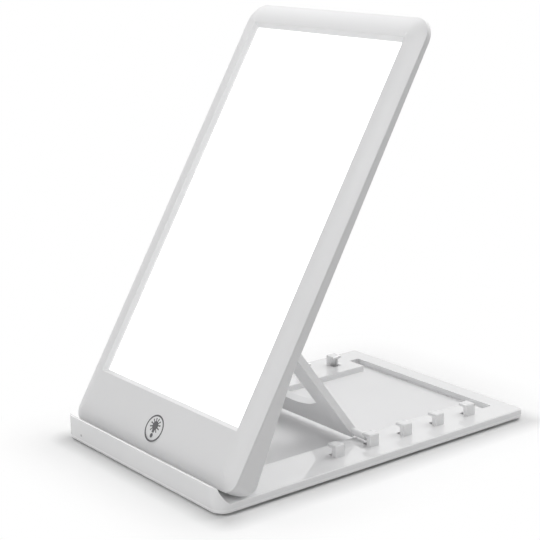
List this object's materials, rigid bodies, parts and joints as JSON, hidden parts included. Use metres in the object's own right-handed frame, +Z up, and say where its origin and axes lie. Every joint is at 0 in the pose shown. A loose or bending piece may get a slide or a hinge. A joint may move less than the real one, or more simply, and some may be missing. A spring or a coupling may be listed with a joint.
{
  "type": "light therapy lamp",
  "caption": "Tablet-shaped light therapy lamp: a tilting light panel hinged to a flat base and held by a prop that stands in catches on the deck.",
  "frame": {"origin": "centre of the base's footprint, on the table", "axes": "+X across the width, -Y the front edge with the lip, +Z up"},
  "size_m": [0.162, 0.236, 0.2545],
  "materials": {
    "white_shell": "gloss",
    "opal_lens": "satin",
    "film_white": "matte",
    "clear_guide": "clear",
    "strip_white": "matte",
    "led_phosphor": "satin",
    "board_green": "satin",
    "chip_black": "matte",
    "lead_white": "matte",
    "copper_pad": "satin",
    "pin_steel": "satin",
    "inlet_metal": "satin",
    "grey_rubber": "matte"
  },
  "bodies": {
    "base": {"base_plate": "white_shell", "base_feet": "grey_rubber"},
    "panel": {"panel_hinge_pins": "pin_steel", "front_bezel": "white_shell", "rear_cover": "white_shell", "cover_screws": "pin_steel", "diffuser_lens": "opal_lens", "diffusion_film": "film_white", "light_guide": "clear_guide", "reflector_sheet": "film_white", "led_strip_left": "strip_white", "led_strip_right": "strip_white", "leds": "led_phosphor", "control_board": "board_green", "board_parts": "chip_black", "led_leads": "lead_white", "inlet_shell": "inlet_metal", "inlet_tongue": "chip_black", "touch_pad": "copper_pad", "touch_spring": "pin_steel", "prop_rod": "pin_steel"},
    "prop": {"prop_stand": "white_shell"}
  },
  "joints": [
    {"name": "panel_tilt", "type": "hinge", "parent": "base", "child": "panel", "pos_m": [0, -0.1024, 0.0186], "axis": [1, 0, 0], "range_deg": [-59, 8.5]},
    {"name": "prop_swing", "type": "hinge", "parent": "panel", "child": "prop", "pos_m": [0, -0.04815, 0.10034], "axis": [1, 0, 0], "range_deg": [-16.8, 116.3]}
  ],
  "couplings": [
    {"joint": "prop_swing", "follows": "panel_tilt", "ratio": -1.97}
  ]
}
